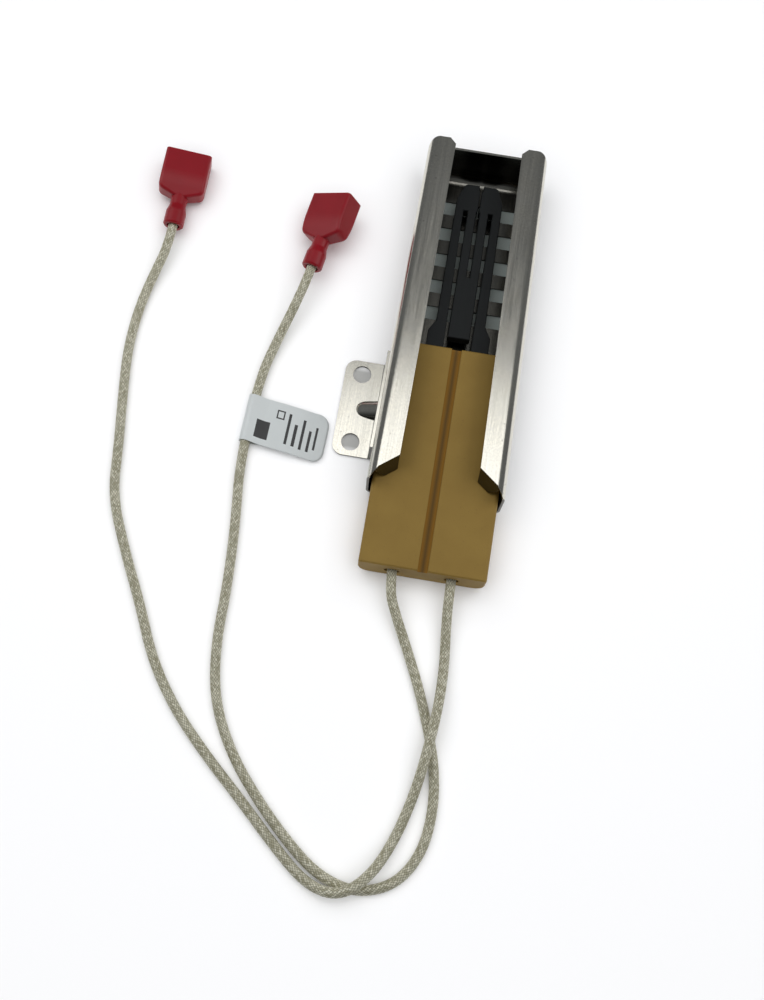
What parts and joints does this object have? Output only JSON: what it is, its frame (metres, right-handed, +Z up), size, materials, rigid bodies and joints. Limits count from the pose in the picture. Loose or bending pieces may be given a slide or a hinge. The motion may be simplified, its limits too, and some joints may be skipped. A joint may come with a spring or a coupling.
{
  "type": "hot surface igniter",
  "caption": "Flat silicon carbide glow igniter in a slotted sheet steel guard, with a side mounting bracket, braided leads and insulated push-on terminals.",
  "frame": {"origin": "middle of the two mounting holes, on the underside of the bracket", "axes": "+Z up through the mounting holes, +Y along the igniter towards the closed end of the guard, +X across towards the igniter"},
  "size_m": [0.0873, 0.1648, 0.0125],
  "materials": {
    "stainless_sheet": "rolled mill finish with fine grain along the length",
    "tan_ceramic": "matt fired, unglazed",
    "silicon_carbide": "matt dark grey, fine grained",
    "contact_metal": "sprayed, dull",
    "cement": "rough, cast",
    "nickel_wire": "drawn, bright",
    "tinned_brass": "plated, bright",
    "glass_braid": "varnished glass braid",
    "red_nylon": "moulded, slightly translucent",
    "label_film": "satin film"
  },
  "bodies": {
    "root": {"guard": "stainless_sheet", "mounting_bracket": "stainless_sheet", "ceramic_block": "tan_ceramic", "heating_element": "silicon_carbide", "left_contact_cap": "contact_metal", "left_front_cement": "cement", "left_pin": "nickel_wire", "left_splice_crimp": "tinned_brass", "left_rear_seal": "cement", "left_conductor_block_end": "nickel_wire", "left_lead": "glass_braid", "left_conductor_terminal_end": "nickel_wire", "left_terminal_housing": "red_nylon", "left_receptacle": "tinned_brass", "left_support_sleeve": "tinned_brass", "right_contact_cap": "contact_metal", "right_front_cement": "cement", "right_pin": "nickel_wire", "right_splice_crimp": "tinned_brass", "right_rear_seal": "cement", "right_conductor_block_end": "nickel_wire", "right_lead": "glass_braid", "right_conductor_terminal_end": "nickel_wire", "right_terminal_housing": "red_nylon", "right_receptacle": "tinned_brass", "right_support_sleeve": "tinned_brass", "flag_label": "label_film"}
  },
  "joints": []
}
